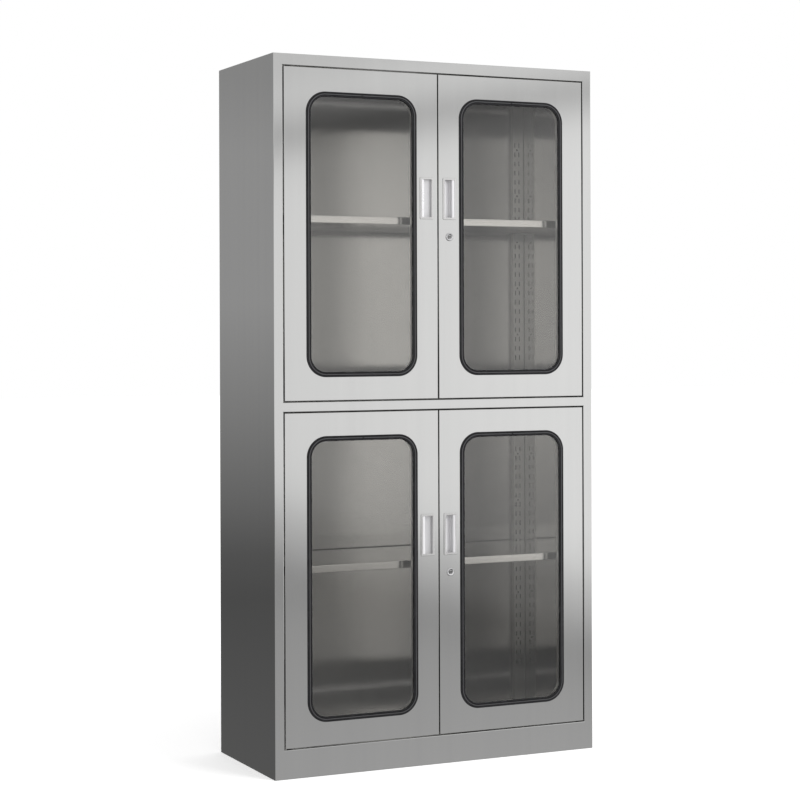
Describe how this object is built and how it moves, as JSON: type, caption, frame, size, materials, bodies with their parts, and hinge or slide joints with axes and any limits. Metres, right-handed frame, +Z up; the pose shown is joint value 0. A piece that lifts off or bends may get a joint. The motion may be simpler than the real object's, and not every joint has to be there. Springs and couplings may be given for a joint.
{
  "type": "glass door medical cabinet",
  "caption": "Free-standing stainless steel medical cabinet with glazed double doors over two compartments, flush pulls, cam locks and clip-in shelves.",
  "frame": {"origin": "on the floor, under the middle of the cabinet's bounding box", "axes": "+X to the right as seen from the front, +Y towards the back, +Z up"},
  "size_m": [0.9, 0.403, 1.8],
  "materials": {
    "steel": "brushed stainless sheet, vertical grain",
    "plated": "zinc plated",
    "nickel": "satin nickel plate",
    "chrome": "polished chrome plate",
    "rubber": "matt black extruded rubber",
    "glass": "clear toughened pane"
  },
  "bodies": {
    "cabinet": {"left_side_panel": "steel", "right_side_panel": "steel", "back_panel": "steel", "top_panel": "steel", "mid_partition": "steel", "bottom_panel": "steel", "rear_left_column": "steel", "rear_right_column": "steel", "front_left_column": "steel", "front_right_column": "steel", "upper_shelf": "steel", "upper_front_left_clip": "plated", "upper_front_right_clip": "plated", "upper_rear_left_clip": "plated", "upper_rear_right_clip": "plated", "lower_shelf": "steel", "lower_front_left_clip": "plated", "lower_front_right_clip": "plated", "lower_rear_left_clip": "plated", "lower_rear_right_clip": "plated"},
    "upper_left_door": {"upper_left_door_skin": "steel", "upper_left_door_liner": "steel", "upper_left_glass": "glass", "upper_left_seal": "rubber", "upper_left_handle": "nickel", "upper_left_top_pivot": "plated", "upper_left_bottom_pivot": "plated", "upper_bolt_guide": "plated"},
    "upper_right_door": {"upper_right_door_skin": "steel", "upper_right_door_liner": "steel", "upper_right_glass": "glass", "upper_right_seal": "rubber", "upper_right_handle": "nickel", "upper_right_top_pivot": "plated", "upper_right_bottom_pivot": "plated", "upper_lock_barrel": "chrome", "upper_lock_nut": "plated"},
    "upper_lock": {"upper_lock_plug": "chrome", "upper_lock_cam": "plated"},
    "upper_bolt": {"upper_bolt": "nickel"},
    "lower_left_door": {"lower_left_door_skin": "steel", "lower_left_door_liner": "steel", "lower_left_glass": "glass", "lower_left_seal": "rubber", "lower_left_handle": "nickel", "lower_left_top_pivot": "plated", "lower_left_bottom_pivot": "plated", "lower_bolt_guide": "plated"},
    "lower_right_door": {"lower_right_door_skin": "steel", "lower_right_door_liner": "steel", "lower_right_glass": "glass", "lower_right_seal": "rubber", "lower_right_handle": "nickel", "lower_right_top_pivot": "plated", "lower_right_bottom_pivot": "plated", "lower_lock_barrel": "chrome", "lower_lock_nut": "plated"},
    "lower_lock": {"lower_lock_plug": "chrome", "lower_lock_cam": "plated"},
    "lower_bolt": {"lower_bolt": "nickel"}
  },
  "joints": [
    {"name": "upper_left_door_swing", "type": "hinge", "parent": "cabinet", "child": "upper_left_door", "pos_m": [-0.41, -0.1915, 1.35275], "axis": [0, 0, -1], "range_deg": [0, 110]},
    {"name": "upper_right_door_swing", "type": "hinge", "parent": "cabinet", "child": "upper_right_door", "pos_m": [0.41, -0.1915, 1.35275], "axis": [0, 0, 1], "range_deg": [0, 110]},
    {"name": "upper_lock_turn", "type": "hinge", "parent": "upper_right_door", "child": "upper_lock", "pos_m": [0.032, -0.1985, 1.352], "axis": [0, 1, 0], "range_deg": [0, 90]},
    {"name": "upper_bolt_slide", "type": "slide", "parent": "upper_left_door", "child": "upper_bolt", "axis": [0, 0, 1], "range_m": [0, 0.012]},
    {"name": "lower_left_door_swing", "type": "hinge", "parent": "cabinet", "child": "lower_left_door", "pos_m": [-0.41, -0.1915, 0.49125], "axis": [0, 0, -1], "range_deg": [0, 110]},
    {"name": "lower_right_door_swing", "type": "hinge", "parent": "cabinet", "child": "lower_right_door", "pos_m": [0.41, -0.1915, 0.49125], "axis": [0, 0, 1], "range_deg": [0, 110]},
    {"name": "lower_lock_turn", "type": "hinge", "parent": "lower_right_door", "child": "lower_lock", "pos_m": [0.032, -0.1985, 0.4905], "axis": [0, 1, 0], "range_deg": [0, 90]},
    {"name": "lower_bolt_slide", "type": "slide", "parent": "lower_left_door", "child": "lower_bolt", "axis": [0, 0, 1], "range_m": [0, 0.012]}
  ]
}
